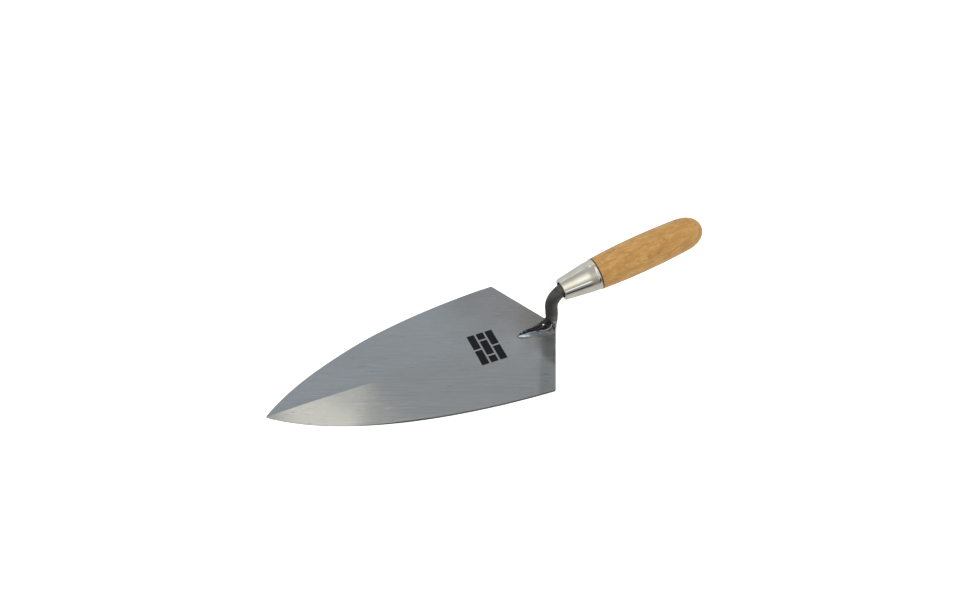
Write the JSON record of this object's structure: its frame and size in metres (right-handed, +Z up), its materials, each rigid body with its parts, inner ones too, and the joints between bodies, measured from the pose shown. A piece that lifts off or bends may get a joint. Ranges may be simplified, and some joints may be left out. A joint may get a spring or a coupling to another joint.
{
  "type": "brick trowel",
  "caption": "Brick trowel: broad pointed flat steel blade with a square-cornered heel, welded cranked shank, tapered metal ferrule and turned wooden handle.",
  "frame": {"origin": "on the blade's flat underside, on the centreline, below the foot of the shank, 5.5 mm from the heel vertex", "axes": "+X from the blade's tip towards the butt of the handle, +Z up out of the blade's upper side, Y across the blade"},
  "size_m": [0.4264, 0.144, 0.0872],
  "materials": {
    "ground_steel": "ground and lightly lacquered, satin, bluish grey",
    "forged_black": "black forge scale under dark lacquer, semi-gloss",
    "weld_metal": "ground weld with straw and blue heat tint",
    "nickel_plate": "bright plated, slightly warm",
    "beech": "clear varnished beech with fine flecks",
    "resin": "cured amber resin, hidden inside the handle",
    "print_ink": "matt black ink printed on the blade, with no thickness in the solids"
  },
  "bodies": {
    "root": {"blade": "ground_steel", "shank": "forged_black", "weld_bead": "weld_metal", "ferrule": "nickel_plate", "handle": "beech", "tang_adhesive": "resin"}
  },
  "joints": []
}
